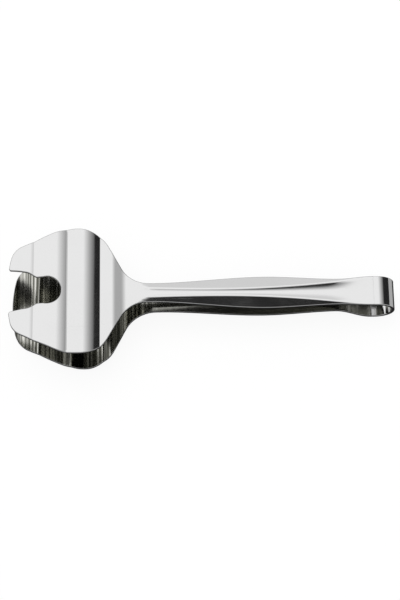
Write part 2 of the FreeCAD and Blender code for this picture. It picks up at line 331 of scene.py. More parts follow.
@dataclass(frozen=True)
class SteelFinish:
    """Mirror-polished stainless steel."""

    name: str
    colour: tuple[float, float, float] = (0.80, 0.80, 0.80)
    # painted shade: the darker colour of the sheet's edges, which stands in for the dark surroundings that they
    # reflect
    edge_painted_shade: tuple[float, float, float] = (0.45, 0.45, 0.45)
    roughness: float = 0.07
    haze: float = 0.05
    edge_roughness: float = 0.24
    grain_strength: float = 0.02
    grain_depth: float = 0.00002   # of the polishing grain, in metres
    scratch_haze: float = 0.08
    # painted reflection and shade on the inner faces: the dark and the light colour of the bands
    inner_painted_shade: tuple[float, float, float] = (0.13, 0.13, 0.11)
    inner_painted_highlight: tuple[float, float, float] = (0.86, 0.855, 0.80)
    inner_haze: float = 0.08
    line_height: float = 0.0002    # of the drawn lines on the inner face, in metres

    def make(self, groups: dict[str, bpy.types.NodeTree]) -> bpy.types.Material:
        """Return the material.

        Args:
            groups: the shared node groups by name: grain, scratches, drawn lines with painted reflection, and edge
                wear with painted shade.
        """
        material = bpy.data.materials.new(self.name)
        material.use_nodes = True
        material.node_tree.nodes.clear()
        maker = TreeMaker(material.node_tree)
        grain = maker.node("ShaderNodeGroup", node_tree=groups["grain"])
        scratches = maker.node("ShaderNodeGroup", node_tree=groups["scratches"])
        rim_wear_and_shade = maker.node("ShaderNodeGroup", node_tree=groups["rim_wear_and_shade"])
        wear_and_shade_mask = rim_wear_and_shade.outputs["Mask"]
        hazy = maker.math("MULTIPLY_ADD", grain.outputs["Haze"], self.haze, self.roughness)
        scratched = maker.math("MULTIPLY_ADD", scratches.outputs["Mask"], self.scratch_haze, hazy)
        inner = maker.node("ShaderNodeGroup", node_tree=groups["drawn"])
        scratched = maker.math(
            "ADD", scratched, maker.math("MULTIPLY", inner.outputs["Mask"], self.inner_haze))
        # the rim mask sets real wear in the roughness and painted shade in the colour
        rough = maker.node("ShaderNodeMix", {0: wear_and_shade_mask, 2: scratched, 3: self.edge_roughness}).outputs[0]
        # painted reflection and shade: the inner faces take the banded colour instead of the steel's own
        painted_reflection_bands = maker.mixed(inner.outputs["Painted Reflection Bands"], self.inner_painted_shade, self.inner_painted_highlight)
        face = maker.mixed(inner.outputs["Mask"], self.colour, painted_reflection_bands)
        # painted shade: the sheet's edges are made darker in colour
        tint = maker.mixed(wear_and_shade_mask, face, self.edge_painted_shade)
        lined = maker.node("ShaderNodeBump", {
            "Height": inner.outputs["Height"], "Strength": 1.0, "Distance": self.line_height})
        bump = maker.node("ShaderNodeBump", {
            "Height": grain.outputs["Height"], "Strength": self.grain_strength, "Distance": self.grain_depth,
            "Normal": lined.outputs[0]})
        shader = maker.node("ShaderNodeBsdfPrincipled", {
            "Base Color": tint, "Metallic": 1.0, "Roughness": rough, "Normal": bump.outputs[0]})
        maker.node("ShaderNodeOutputMaterial", {"Surface": shader.outputs[0]})
        return material


# --- the working frame -----------------------------------------------------------------------------

@dataclass(frozen=True)
class Bend:
    """The bend of the bow, and where the working frame lies in the row's frame."""

    length: float = 180.0
    radius: float = 8.6
    width: float = 14.1
    leg: float = 2.0
    sheet: float = 1.5
    edge: float = 0.3
    lean: float = 1.1513          # degrees from the working frame to the surface that the tongs lie on
    upper_flare: float = 1.5
    steps: int = 72

    @property
    def centre_x(self) -> float:
        """Distance of the bend's centre from the upper jaw's tip."""
        return self.length - self.radius

    def to_row(self) -> Matrix:
        """Return the matrix from the working frame in mm to the row's frame in metres."""
        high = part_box("spring_bow")[1]
        centre = Vector((high.x - self.radius * MM, 0.0, self.radius * MM))
        turn = Matrix.Rotation(math.radians(self.lean), 4, "Y")
        return Matrix.Translation(centre) @ turn @ Matrix.Scale(MM, 4) @ Matrix.Translation((-self.centre_x, 0.0, 0.0))

    def leg_angle(self, side: Side) -> float:
        """Return the angle in radians between an arm's bow leg and the working frame's X axis."""
        return math.radians(self.upper_flare if side is Side.UPPER else self.lean)

    def leg_end(self, side: Side) -> tuple[float, float]:
        """Return x and height of the end of the leg's outer face, seen as an upper arm."""
        angle = self.leg_angle(side)
        x = self.centre_x + math.sin(angle) * self.radius - math.cos(angle) * self.leg
        return x, math.cos(angle) * self.radius + math.sin(angle) * self.leg


@dataclass
class SpringBow:
    """The bow: the strip swept round its bend, from the end of one leg to the end of the other."""

    bend: Bend

    def tree(self) -> bpy.types.NodeTree:
        """Return the tree that sweeps the strip's section along a leg, an arc and a leg."""
        maker, entry = geometry_tree("bow_sweep", {
            "Bend Radius": 7.25, "Leg": 3.5, "Start Angle": -1.57, "Sweep": 3.14,
            "Width": 13.6, "Thickness": 1.5, "Edge Radius": 0.3, "Steps": 72})
        size = entry.outputs
        line = maker.node("GeometryNodeMeshLine", {"Count": size["Steps"], "Offset": (0.0, 0.0, 1.0)})
        curve = maker.node("GeometryNodeMeshToCurve", {0: line.outputs[0]})
        arc = maker.math("MULTIPLY", size["Bend Radius"], size["Sweep"])
        total = maker.math("ADD", arc, maker.math("MULTIPLY", size["Leg"], 2.0))
        share = maker.node("GeometryNodeSplineParameter").outputs["Factor"]
        run = maker.math("SUBTRACT", maker.math("MULTIPLY", share, total), size["Leg"])
        on_arc = maker.math("MINIMUM", maker.math("MAXIMUM", run, 0.0), arc)
        straight = maker.math("SUBTRACT", run, on_arc)
        angle = maker.math("ADD", maker.math("DIVIDE", on_arc, size["Bend Radius"]), size["Start Angle"])
        cosine = maker.math("COSINE", angle)
        sine = maker.math("SINE", angle)
        x = maker.math("SUBTRACT", maker.math("MULTIPLY", cosine, size["Bend Radius"]),
                       maker.math("MULTIPLY", sine, straight))
        z = maker.math("ADD", maker.math("MULTIPLY", sine, size["Bend Radius"]),
                       maker.math("MULTIPLY", cosine, straight))
        place = maker.node("ShaderNodeCombineXYZ", {"X": x, "Y": 0.0, "Z": z})
        path = maker.node(
            "GeometryNodeSetPosition", {"Geometry": curve.outputs[0], "Position": place.outputs[0]})
        level = maker.node("GeometryNodeSetCurveNormal", {0: path.outputs[0]}, mode="MINIMUM_TWIST")
        section = maker.node("GeometryNodeCurvePrimitiveQuadrilateral", {
            "Width": size["Width"], "Height": size["Thickness"]})
        rounded = maker.node("GeometryNodeFilletCurve", {
            "Curve": section.outputs[0], "Count": 5, "Radius": size["Edge Radius"], "Limit Radius": True},
            mode="POLY")
        swept = maker.node("GeometryNodeCurveToMesh", {
            "Curve": level.outputs[0], "Profile Curve": rounded.outputs[0], "Fill Caps": True})
        finish_tree(maker, entry, swept.outputs[0])
        return maker.tree

    def build(self, finish: bpy.types.Material) -> bpy.types.Object:
        """Return the finished bow in its place."""
        bend = self.bend
        start = -(math.pi / 2.0 - bend.leg_angle(Side.LOWER))
        end = math.pi / 2.0 - bend.leg_angle(Side.UPPER)
        sizes = {
            "Bend Radius": bend.radius - bend.sheet / 2.0, "Leg": bend.leg, "Start Angle": start,
            "Sweep": end - start, "Width": bend.width, "Thickness": bend.sheet, "Edge Radius": bend.edge,
            "Steps": bend.steps}
        mesh = run_tree(bpy.data.meshes.new("bow_seed"), self.tree(), sizes, finish)
        mesh.transform(Matrix.Translation((bend.centre_x, 0.0, 0.0)))
        self.mark_rim(mesh)
        mesh.transform(bend.to_row())
        mesh.name = "bow_strip"
        for polygon in mesh.polygons:
            polygon.use_smooth = True
        piece = bpy.data.objects.new("bow_strip", mesh)
        bpy.context.scene.collection.objects.link(piece)
        weighted = piece.modifiers.new("even", "WEIGHTED_NORMAL")
        weighted.mode = "FACE_AREA"
        graph = bpy.context.evaluated_depsgraph_get()
        piece.data = bpy.data.meshes.new_from_object(piece.evaluated_get(graph), depsgraph=graph)
        piece.modifiers.clear()
        return piece

    def mark_rim(self, mesh: bpy.types.Mesh) -> None:
        """Store on each vertex whether it is on the strip's edge, and whether it is on its inner face."""
        rim = mesh.attributes.new("rim", "FLOAT", "POINT")
        flat = self.bend.width / 2.0 - self.bend.edge * 0.5
        for index, vertex in enumerate(mesh.vertices):
            rim.data[index].value = 1.0 if abs(vertex.co.y) > flat else 0.0
        inner = mesh.attributes.new("inner", "FLOAT", "POINT")
        centre = self.bend.to_row() @ Vector((self.bend.centre_x, 0.0, 0.0))
        middle = (self.bend.radius - self.bend.sheet / 2.0) * MM
        for index, vertex in enumerate(mesh.vertices):
            away = vertex.co - centre
            inner.data[index].value = 1.0 if away.x > 0.0 and math.hypot(away.x, away.z) < middle else 0.0


# --- the arms --------------------------------------------------------------------------------------

@dataclass(frozen=True)
class HandleForm:
    """Sizes of a handle: widths along it, the flute between its ridges, and the flanks outside them."""

    pinch: float
    flare: float
    pinch_from_crown: float = 28.0
    waist_from_crown: float = 26.0
    waist_width: float = 12.5
    grip_from_crown: float = 60.0
    grip_width: float = 15.3
    neck_width: float = 9.2
    flute_neck: float = 4.4
    flute_min: float = 3.2
    flute_min_from_crown: float = 82.0
    flute_slope: float = 0.17   # of the flute's side at the ridge
    flute_rise_run: float = 60.0
    run_out: float = 10.0      # how far the ridges run out into the jaw
    flute_run: float = 15.0
    flute_end_run: float = 24.0
    flank_angle: float = 7.0
    flank_run: float = 11.0
    flank_end_run: float = 16.0
    flank_min: float = 0.5
    ridge_round: float = 1.2
    rows: int = 96
    flank_columns: int = 6
    ridge_columns: int = 6
    flute_columns: int = 10


@dataclass(frozen=True)
class JawForm:
    """Sizes of a jaw: the lobes rolled across it, its shoulder, its outline and its notch."""

    setback: float
    notched: bool
    reach: float = 0.0
    length: float = 66.0
    first_lobe: float = 12.6
    lobe_pitch: float = 15.2
    tip_height: float = 1.85
    creases: tuple[float, ...] = (3.05, 2.9, 0.75)
    rises: tuple[float, ...] = (1.1, 1.35, 1.75)
    crease_round: float = 0.9
    shoulder_crest: float = 4.0
    shoulder_rise: float = 1.3
    shoulder_foot: float = 11.5
    crest_round: float = 5.7
    foot_round: float = 3.5
    width: float = 61.0
    tip_radius: float = 72.0
    tip_lean: float = 11.0
    tip_corner_half: float = 19.6
    tip_corner_radius: float = 9.0
    side_angle: float = 24.6
    side_radius: float = 28.0
    shoulder_from_tip: float = 42.1
    shoulder_angle: float = 60.5
    shoulder_corner_radius: float = 15.5
    neck_corner_radius: float = 14.0
    notch_mouth: float = 20.4
    notch_throat: float = 17.4
    notch_throat_from_tip: float = 10.0
    notch_waist: float = 12.8
    notch_waist_from_tip: float = 13.8
    notch_bulb_radius: float = 6.6
    notch_bulb_from_tip: float = 18.5
    mouth_corner_radius: float = 1.0
    throat_radius: float = 5.0
    waist_radius: float = 2.0
    line_gap: float = 0.5     # between the lines of vertices across the jaw
    point_gap: float = 0.9    # between the vertices on a line
    outline_gap: float = 0.5

    @property
    def crease_x(self) -> list[float]:
        """Distances of the creases from the upper jaw's tip."""
        return [self.setback + self.first_lobe + index * self.lobe_pitch for index in range(len(self.creases))]


def rounded_corner(before: Vector, corner: Vector, after: Vector, radius: float, gap: float) -> list[Vector]:
    """Return the points of a rounded corner.

    Args:
        before: the point before the corner.
        corner: the corner itself.
        after: the point after it.
        radius: radius of the rounding; 0 keeps the corner.
        gap: the most between two points of the arc.
    """
    if radius <= 0.0:
        return [corner]
    back = (before - corner).normalized()
    ahead = (after - corner).normalized()
    half = back.angle(ahead) / 2.0
    centre = corner + (back + ahead).normalized() * (radius / math.sin(half))
    first = corner + back * (radius / math.tan(half)) - centre
    last = corner + ahead * (radius / math.tan(half)) - centre
    sweep = math.pi - 2.0 * half
    count = max(3, math.ceil(sweep * radius / gap))
    points = []
    for index in range(count + 1):
        share = index / count
        weight_first = math.sin((1.0 - share) * sweep) / math.sin(sweep)
        weight_last = math.sin(share * sweep) / math.sin(sweep)
        points.append(centre + first * weight_first + last * weight_last)
    return points


def fitting_radii(points: list[Vector], radii: list[float]) -> list[float]:
    """Return the radii, made smaller where two rounded corners would meet on the side between them."""
    reaches = [0.0]
    for before, corner, after, radius in zip(points, points[1:], points[2:], radii):
        reaches.append(radius / math.tan((before - corner).angle(after - corner) / 2.0))
    reaches.append(0.0)
    room = []
    for start, end, first, last in zip(points, points[1:], reaches, reaches[1:]):
        room.append(min(1.0, CORNER_SHARE * (end - start).length / (first + last)))
    return [radius * min(pair) for radius, pair in zip(radii, zip(room, room[1:]))]


def filled_in(points: list[Vector], gap: float) -> list[Vector]:
    """Return the path with points added so that no two neighbours are further apart than the gap."""
    path = [points[0]]
    for start, end in zip(points, points[1:]):
        count = max(1, math.ceil((end - start).length / gap - 0.01))
        path.extend(start.lerp(end, index / count) for index in range(1, count + 1))
    return path


def inside(points: np.ndarray, loop: np.ndarray) -> np.ndarray:
    """Return whether each point lies inside the closed loop."""
    within = np.zeros(len(points), bool)
    previous = np.roll(loop, 1, axis=0)
    for (ax, ay), (bx, by) in zip(previous, loop):
        crosses = (ay > points[:, 1]) != (by > points[:, 1])
        if not crosses.any():
            continue
        x = ax + (points[:, 1] - ay) * (bx - ax) / (by - ay)
        within ^= crosses & (points[:, 0] < x)
    return within


def clearance(points: np.ndarray, loop: np.ndarray) -> np.ndarray:
    """Return each point's distance from the nearest point of the loop."""
    nearest = np.full(len(points), np.inf)
    for corner in loop:
        nearest = np.minimum(nearest, np.hypot(points[:, 0] - corner[0], points[:, 1] - corner[1]))
    return nearest


@dataclass
class Blank:
    """A flat blank with rounded edges, in the plane of the strip.

    Attributes:
        plan: x and y of each vertex.
        depth: how far each vertex lies below the top face.
        outward: direction in plan from the sheet to its edge, zero on the faces.
        roll: angle of the surface in radians: 0 on the top face, pi on the bottom one.
        faces: vertex numbers of each face.
    """

    plan: np.ndarray
    depth: np.ndarray
    outward: np.ndarray
    roll: np.ndarray
    faces: list[list[int]]


@dataclass
class ArmStrip:
    """One arm of the tongs, handle and jaw in one, from its tip to the end of the bow's leg."""

    name: str
    side: Side
    bend: Bend
    handle: HandleForm
    jaw: JawForm
    rim_steps: int = 4
    probe: float = 0.02       # distance over which slopes are measured
    neck_outline: np.ndarray | None = None

    @property
    def neck(self) -> float:
        """Distance of the neck from the upper jaw's tip."""
        return self.jaw.length + self.jaw.reach + self.jaw.setback

    @property
    def end(self) -> float:
        """Distance of the bow leg's end from the upper jaw's tip."""
        return self.bend.leg_end(self.side)[0]

    # -- widths -----------------------------------------------------------------------------------

    def half_width(self, x: np.ndarray) -> np.ndarray:
        """Return half the width of the handle at x."""
        form = self.handle
        grip = self.bend.length - form.grip_from_crown
        waist = self.bend.length - form.waist_from_crown
        near = form.neck_width + (form.grip_width - form.neck_width) * ease((x - self.neck) / (grip - self.neck))
        middle = (form.waist_width - form.grip_width) * ease((x - grip) / (waist - grip))
        far = (self.bend.width - form.waist_width) * ease((x - waist) / (self.end - waist))
        return (near + middle + far) / 2.0

    def half_flute(self, x: np.ndarray) -> np.ndarray:
        """Return half the distance between the two ridges at x."""
        form = self.handle
        narrow = self.bend.length - form.flute_min_from_crown
        near = np.clip((narrow - x) / (narrow - self.neck), 0.0, 1.0) ** 2
        far = np.clip((x - narrow) / (self.end - narrow), 0.0, 1.0) ** 2
        width = form.flute_min + (form.flute_neck - form.flute_min) * near + (self.bend.width - form.flute_min) * far
        half = np.minimum(width / 2.0, self.half_width(x) - form.flank_min)
        run_out = (form.neck_width - form.flute_neck) / 2.0 * ease((x - self.neck + form.run_out) / form.run_out)
        return np.where(x < self.neck, self.neck_half(x) - run_out, half)

    def neck_half(self, x: np.ndarray) -> np.ndarray:
        """Return half the width of the jaw at x, near its neck."""
        if self.neck_outline is None:
            points = [point for point in self.half_outline() if point.x > self.neck - 14.0]
            self.neck_outline = np.array([[point.x + self.jaw.setback, point.y] for point in points[::-1]])
        return np.interp(x, self.neck_outline[:, 0], self.neck_outline[:, 1])

    # -- heights ----------------------------------------------------------------------------------

    def flare_height(self, x: np.ndarray | float) -> np.ndarray:
        """Return the height of the straight part of the handle at x."""
        pinch = self.bend.length - self.handle.pinch_from_crown
        return self.handle.pinch + (pinch - x) * math.tan(math.radians(self.handle.flare))

    def spine_height(self, x: np.ndarray) -> np.ndarray:
        """Return the height of the handle's ridges at x, with the bend that leads into the bow."""
        pinch = self.bend.length - self.handle.pinch_from_crown
        end_x, end_height = self.bend.leg_end(self.side)
        leg = end_height - (x - end_x) * math.tan(self.bend.leg_angle(self.side))
        share = ease((x - pinch) / (end_x - pinch))
        return self.flare_height(x) * (1.0 - share) + leg * share

    def jaw_height(self, x: np.ndarray) -> np.ndarray:
        """Return the height of the jaw at x before the lobes are pressed: straight runs between its folds."""
        form = self.jaw
        crease_x = form.crease_x
        crest = crease_x[-1] + form.shoulder_crest
        foot = crease_x[-1] + form.shoulder_foot
        xs = [form.setback, *crease_x, crest, foot, self.neck]
        heights = self.fold_heights()
        heights += [heights[-1] + form.shoulder_rise, self.flare_height(foot), self.flare_height(self.neck)]
        height = np.interp(x, xs, heights)
        slopes = np.diff(heights) / np.diff(xs)
        height = np.where(x < xs[0], heights[0] + (x - xs[0]) * slopes[0], height)
        height = height + soften(x - crest, slopes[-2] - slopes[-3], form.crest_round)
        return height + soften(x - foot, slopes[-1] - slopes[-2], form.foot_round)

    def fold_heights(self) -> list[float]:
        """Return the heights of the tip and the creases."""
        form = self.jaw
        places = zip([form.setback, *form.crease_x], [form.tip_height, *form.creases])
        return [float(self.flare_height(x)) + height for x, height in places]

    def cross_height(self, x: np.ndarray, y: np.ndarray) -> np.ndarray:
        """Return the height of the cross-section above the ridges at x and y: flute and flanks."""
        form = self.handle
        half = self.half_flute(x)
        start = self.neck - form.run_out
        fade = ease((x - start) / form.flank_run) * ease((self.end - x) / form.flank_end_run)
        slope = math.tan(math.radians(form.flank_angle)) * fade
        steep = form.flute_slope * (0.6 + 0.4 * ease((x - self.neck) / form.flute_rise_run))
        depth = steep * half / 2.0 * ease((x - start) / form.flute_run) * ease((self.end - x) / form.flute_end_run)
        across = np.abs(y)
        flute = -depth * (1.0 - np.clip(across / half, 0.0, 1.0) ** 2)
        flank = -np.clip(across - half, 0.0, None) * slope
        return flute + flank + soften(across - half, -(slope + 2.0 * depth / half), form.ridge_round)

    def height(self, x: np.ndarray, y: np.ndarray) -> np.ndarray:
        """Return the height of the outer face at x and y, before the lobes are pressed."""
        return np.where(x < self.neck, self.jaw_height(x), self.spine_height(x)) + self.cross_height(x, y)

    # -- the blank --------------------------------------------------------------------------------

    def front_edge_x(self, y: float, radius: float) -> float:
        """Return how far the front edge, curved to the radius, lies behind the tip at y."""
        shift = (self.jaw.tip_radius - radius) * (1.0 - 1.0 / math.cos(math.radians(self.jaw.tip_lean)))
        return shift + radius - math.sqrt(radius ** 2 - y * y)

    def half_outline(self) -> list[Vector]:
        """Return the jaw's outline on its +Y side, from the neck to the centre line, with its tip at x = 0."""
        form = self.jaw
        half = form.width / 2.0
        lean = math.radians(form.tip_lean)
        tip_corner_x = form.tip_radius * (1.0 - 1.0 / math.cos(lean)) + form.tip_corner_half * math.tan(lean)
        side_x = tip_corner_x + (half - form.tip_corner_half) / math.tan(math.radians(form.side_angle))
        neck_half = self.handle.neck_width / 2.0
        shoulder_x = form.shoulder_from_tip + form.reach
        neck_x = shoulder_x + (half - neck_half) / math.tan(math.radians(form.shoulder_angle))
        front_x = form.tip_radius * (1.0 - 1.0 / math.cos(lean))
        places = [
            (form.length + form.reach, neck_half), (neck_x, neck_half), (shoulder_x, half), (side_x, half),
            (tip_corner_x, form.tip_corner_half), (front_x, 0.0), (tip_corner_x, -form.tip_corner_half)]
        radii = fitting_radii([Vector(place) for place in places], [
            form.neck_corner_radius, form.shoulder_corner_radius, form.side_radius, form.tip_corner_radius,
            form.tip_radius])
        curve = radii.pop()
        arc_half = curve * math.sin(lean)
        corners = [(x, y, radius) for (x, y), radius in zip(places, [0.0, *radii])]
        corners.append((self.front_edge_x(arc_half, curve), arc_half, 0.0))
        if form.notched:
            corners += self.notch_corners(arc_half, curve)
        else:
            corners += [(self.front_edge_x(y, curve), y, 0.0) for y in np.linspace(arc_half, 0.0, 28)[1:]]
        points = [Vector(corner[:2]) for corner in corners]
        path = [points[0]]
        for before, corner, after, sizes in zip(points, points[1:], points[2:], corners[1:]):
            path += rounded_corner(before, corner, after, sizes[2], form.outline_gap)
        return filled_in(path + [points[-1]], form.outline_gap)

    def notch_corners(self, arc_half: float, curve: float) -> list[tuple[float, float, float]]:
        """Return x, y and radius of the corners from the front edge round the notch to the centre line."""
        form = self.jaw
        mouth = form.notch_mouth / 2.0
        waist = form.notch_waist / 2.0
        bulb = form.notch_bulb_radius
        corners = [(self.front_edge_x(y, curve), y, 0.0) for y in np.linspace(arc_half, mouth + 2.0, 4)[1:]]
        corners += [
            (self.front_edge_x(mouth, curve), mouth, form.mouth_corner_radius),
            (form.notch_throat_from_tip, form.notch_throat / 2.0, form.throat_radius),
            (form.notch_waist_from_tip, waist, form.waist_radius),
        ]
        join = math.pi - math.asin(waist / bulb)
        corners.append((form.notch_bulb_from_tip + bulb * math.cos(join), waist, 0.0))
        for angle in np.linspace(join, 0.0, 34)[1:]:
            corners.append((form.notch_bulb_from_tip + bulb * math.cos(angle), bulb * math.sin(angle), 0.0))
        return corners

    def jaw_chain(self) -> tuple[np.ndarray, np.ndarray]:
        """Return the jaw's outline from the neck's -Y corner to its +Y one, and the outward direction there."""
        half = np.array([tuple(point) for point in self.half_outline()])
        mirrored = half * (1.0, -1.0)
        chain = np.vstack([mirrored, half[::-1][1:]])
        chain[:, 0] += self.jaw.setback
        ahead = np.vstack([chain[1:] - chain[:-1], chain[-1:] - chain[-2:-1]])
        ahead /= np.linalg.norm(ahead, axis=1)[:, None]
        behind = np.vstack([ahead[:1], ahead[:-1]])
        tangent = ahead + behind
        tangent /= np.linalg.norm(tangent, axis=1)[:, None]
        outward = np.stack([-tangent[:, 1], tangent[:, 0]], axis=1)
        outward[0] = (0.0, -1.0)
        outward[-1] = (0.0, 1.0)
        return chain, outward

    def handle_rows(self) -> np.ndarray:
        """Return x and y of the handle's grid of vertices: rows along it, columns across it."""
        form = self.handle
        rows = []
        for x in np.linspace(self.neck, self.end, form.rows):
            edge = float(self.half_width(x)) - self.bend.edge
            ridge = float(self.half_flute(x))
            reach = min(form.ridge_round / 2.0, (edge - ridge) * 0.45, ridge * 0.45)
            reach = max(reach, 0.02)
            ridge = min(ridge, edge - 2.0 * reach)
            half = np.concatenate([
                np.linspace(0.0, ridge - reach, form.flute_columns // 2 + 1),
                np.linspace(ridge - reach, ridge + reach, form.ridge_columns + 1)[1:],
                np.linspace(ridge + reach, edge, form.flank_columns + 1)[1:]])
            across = np.concatenate([-half[::-1], half[1:]])
            rows.append(np.stack([np.full(len(across), x), across], axis=1))
        return np.array(rows)

    def jaw_lines(self) -> np.ndarray:
        """Return the x of the lines of vertices across the jaw, closer at its folds."""
        form = self.jaw
        lines = set(np.round(np.arange(form.setback, self.neck, form.line_gap), 4))
        folds = [(x, form.crease_round) for x in form.crease_x]
        for fold, width in folds:
            lines = {x for x in lines if abs(x - fold) > width / 2.0 + 0.15}
            lines |= set(np.round(fold + np.linspace(-0.5, 0.5, 7) * width, 4))
        return np.array(sorted(lines))

    def blank(self) -> Blank:
        """Return the arm's flat blank."""
        edge = self.bend.edge
        chain, outward = self.jaw_chain()
        inset = chain - outward * edge
        rows = self.handle_rows()
        sheet, triangles, loop = self.jaw_sheet(inset, rows[0])
        jaw_numbers = loop[:len(inset)]
        numbers = [[jaw_numbers[0], *loop[:len(inset) - 1:-1], jaw_numbers[-1]]]
        plan = [tuple(point) for point in sheet]
        for row in rows[1:]:
            numbers.append(list(range(len(plan), len(plan) + len(row))))
            plan += [tuple(point) for point in row]
        faces = [list(face) for face in triangles]
        for low, high in zip(numbers, numbers[1:]):
            for index in range(len(low) - 1):
                faces.append([low[index], high[index], high[index + 1], low[index + 1]])
        border = [line[0] for line in numbers[:0:-1]] + jaw_numbers + [line[-1] for line in numbers[1:]]
        return self.with_edges(np.array(plan), faces, border, self.border_outward(rows, outward), numbers[-1])

    def border_outward(self, rows: np.ndarray, outward: np.ndarray) -> np.ndarray:
        """Return the outward direction at each vertex of the border, from the bow round the jaw and back."""
        x = rows[1:, 0, 0]
        slope = (self.half_width(x + self.probe) - self.half_width(x - self.probe)) / (2.0 * self.probe)
        away = np.stack([-slope, np.ones(len(x))], axis=1)
        away /= np.linalg.norm(away, axis=1)[:, None]
        return np.vstack([(away * (1.0, -1.0))[::-1], outward, away])

    def jaw_sheet(self, inset: np.ndarray, neck_row: np.ndarray) -> tuple[list[tuple[float, float]], list, list[int]]:
        """Return the jaw's face as triangles.

        Args:
            inset: border of the flat face, from the neck's -Y corner to its +Y one.
            neck_row: the handle's first row of vertices.

        Returns:
            The points, the triangles, and the numbers of the points round the border and back along the row.
        """
        loop = np.vstack([inset, neck_row[1:-1][::-1]])
        form = self.jaw
        grid = []
        across = np.arange(0.0, form.width / 2.0, form.point_gap)
        across = np.concatenate([-across[:0:-1], across])
        for x in self.jaw_lines():
            grid += [(x, y) for y in across]
        grid = np.array(grid)
        keep = inside(grid, loop) & (clearance(grid, loop) > 0.3)
        points = np.vstack([loop, grid[keep]])
        made = delaunay_2d_cdt(
            [Vector(point) for point in points], [], [list(range(len(loop)))[::-1]], 1, 1e-7)
        sheet = [(vertex.x, vertex.y) for vertex in made[0]]
        numbers = {first: number for number, origins in enumerate(made[3]) for first in origins}
        triangles = []
        for face in made[2]:
            a, b, c = (Vector(sheet[number]) for number in face[:3])
            turn = (b - a).cross(c - a)
            triangles.append(list(face) if turn > 0.0 else list(face)[::-1])
        return sheet, triangles, [numbers[index] for index in range(len(loop))]

    def with_edges(
        self, plan: np.ndarray, faces: list, border: list[int], outward: np.ndarray, last_row: list[int]
    ) -> Blank:
        """Return the blank with its rounded edges, its bottom face and its cap.

        Args:
            plan: x and y of the top face's vertices.
            faces: the top face.
            border: the top face's border, from the bow round the jaw and back.
            outward: outward direction at each vertex of the border.
            last_row: the top face's vertices at the bow.
        """
        count = len(plan)
        edge = self.bend.edge
        quarter = np.linspace(0.0, math.pi / 2.0, self.rim_steps + 1)
        rolls = np.concatenate([quarter[1:], quarter[:-1] + math.pi / 2.0])
        places = [plan, plan]
        depths = [np.zeros(count), np.full(count, self.bend.sheet)]
        outwards = [np.zeros((count, 2)), np.zeros((count, 2))]
        angles = [np.zeros(count), np.full(count, math.pi)]
        rings = [border]
        start = 2 * count
        for number, roll in enumerate(rolls):
            depth = edge * (1.0 - math.cos(roll))
            if number >= self.rim_steps:
                depth = self.bend.sheet - edge * (1.0 + math.cos(roll))
            places.append(plan[border] + outward * edge * math.sin(roll))
            depths.append(np.full(len(border), depth))
            outwards.append(outward)
            angles.append(np.full(len(border), roll))
            rings.append(list(range(start, start + len(border))))
            start += len(border)
        rings.append([number + count for number in border])
        whole = [list(face) for face in faces]
        whole += [[number + count for number in face][::-1] for face in faces]
        for upper, lower in zip(rings, rings[1:]):
            for index in range(len(border) - 1):
                whole.append([upper[index], upper[index + 1], lower[index + 1], lower[index]])
        cap = [ring[0] for ring in rings[1:-1]]
        cap += [number + count for number in last_row]
        cap += [ring[-1] for ring in rings[1:-1]][::-1]
        cap += list(last_row)[::-1]
        whole.append(cap)
        return Blank(np.vstack(places), np.concatenate(depths), np.vstack(outwards), np.concatenate(angles), whole)

    # -- forming ----------------------------------------------------------------------------------

    def press_tree(self) -> bpy.types.NodeTree:
        """Return the tree that rolls the lobes into the jaw and rounds the creases between them."""
        form = self.jaw
        count = len(form.rises)
        sizes = {"Tip": 0.0, "First Lobe": form.first_lobe, "Lobe Pitch": form.lobe_pitch, "Crease Round": 1.0}
        sizes.update({f"Rise {number + 1}": rise for number, rise in enumerate(form.rises)})
        sizes.update({f"Slope {number + 1}": 0.0 for number in range(count + 1)})
        maker, entry = geometry_tree(self.name + "_press", sizes)
        size = entry.outputs
        place = maker.node("GeometryNodeInputPosition").outputs[0]
        x = maker.node("ShaderNodeSeparateXYZ", {0: place}).outputs["X"]
        height = 0.0
        slope = 0.0
        start = size["Tip"]
        before = None
        for number in range(count):
            length = size["First Lobe"] if number == 0 else size["Lobe Pitch"]
            rise = size[f"Rise {number + 1}"]
            raw = maker.math("DIVIDE", maker.math("SUBTRACT", x, start), length)
            if number > 0:
                raw = maker.math("MAXIMUM", raw, 0.0)
            share = maker.math("MINIMUM", raw, 1.0)
            bulge = maker.math("MULTIPLY", share, maker.math("SUBTRACT", 1.0, share))
            steep = maker.math("DIVIDE", maker.math("MULTIPLY", rise, 4.0), length)
            height = maker.math(
                "ADD", height, maker.math("MULTIPLY", bulge, maker.math("MULTIPLY", rise, 4.0)))
            here = maker.math("LESS_THAN", raw, 1.0)
            if number > 0:
                here = maker.math("MULTIPLY", here, maker.math("GREATER_THAN", raw, 0.0))
            lobe_slope = maker.math(
                "MULTIPLY", steep, maker.math("SUBTRACT", 1.0, maker.math("MULTIPLY", share, 2.0)))
            slope = maker.math("ADD", slope, maker.math("MULTIPLY", lobe_slope, here))
            if before is not None:
                added, added_slope = self.crease_nodes(maker, size, x, start, before, steep, number)
                height = maker.math("ADD", height, added)
                slope = maker.math("ADD", slope, added_slope)
            before = steep
            start = maker.math("ADD", start, length)
        added, added_slope = self.crease_nodes(maker, size, x, start, before, 0.0, count)
        height = maker.math("ADD", height, added)
        slope = maker.math("ADD", slope, added_slope)
        offset = maker.node("ShaderNodeCombineXYZ", {"Z": height})
        noted = maker.node("GeometryNodeStoreNamedAttribute", {
            "Geometry": size["Geometry"], "Name": "press_slope", "Value": slope}, data_type="FLOAT", domain="POINT")
        pressed = maker.node("GeometryNodeSetPosition", {
            "Geometry": noted.outputs[0], "Offset": offset.outputs[0]})
        finish_tree(maker, entry, pressed.outputs[0])
        return maker.tree

